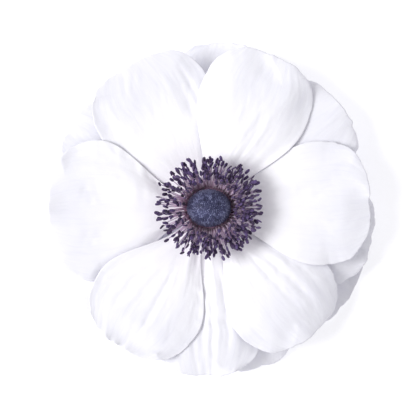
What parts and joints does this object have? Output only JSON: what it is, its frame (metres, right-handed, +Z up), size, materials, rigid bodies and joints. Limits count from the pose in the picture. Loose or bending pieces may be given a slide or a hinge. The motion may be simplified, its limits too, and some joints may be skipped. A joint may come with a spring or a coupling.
{
  "type": "anemone flower",
  "caption": "White anemone bloom with a dark purple eye, cut just under the head and lying face up.",
  "frame": {"origin": "bottom centre of the bloom's box, on the surface that its outer petals lie on", "axes": "+Z up out of the face of the bloom, +X towards the bloom's right as seen from above with +Y up the view"},
  "size_m": [0.0918, 0.0938, 0.0195],
  "materials": {
    "white_petal": "matte",
    "purple_stamen": "matte",
    "dark_pistil": "matte",
    "green_stem": "satin"
  },
  "bodies": {
    "root": {"stem": "green_stem", "outer_petal_1": "white_petal", "outer_petal_2": "white_petal", "outer_petal_3": "white_petal", "outer_petal_4": "white_petal", "outer_petal_5": "white_petal", "outer_petal_6": "white_petal", "outer_petal_7": "white_petal", "inner_petal_1": "white_petal", "inner_petal_2": "white_petal", "inner_petal_3": "white_petal", "inner_petal_4": "white_petal", "inner_petal_5": "white_petal", "inner_petal_6": "white_petal", "inner_petal_7": "white_petal", "stamens": "purple_stamen", "pistil_head": "dark_pistil"}
  },
  "joints": []
}
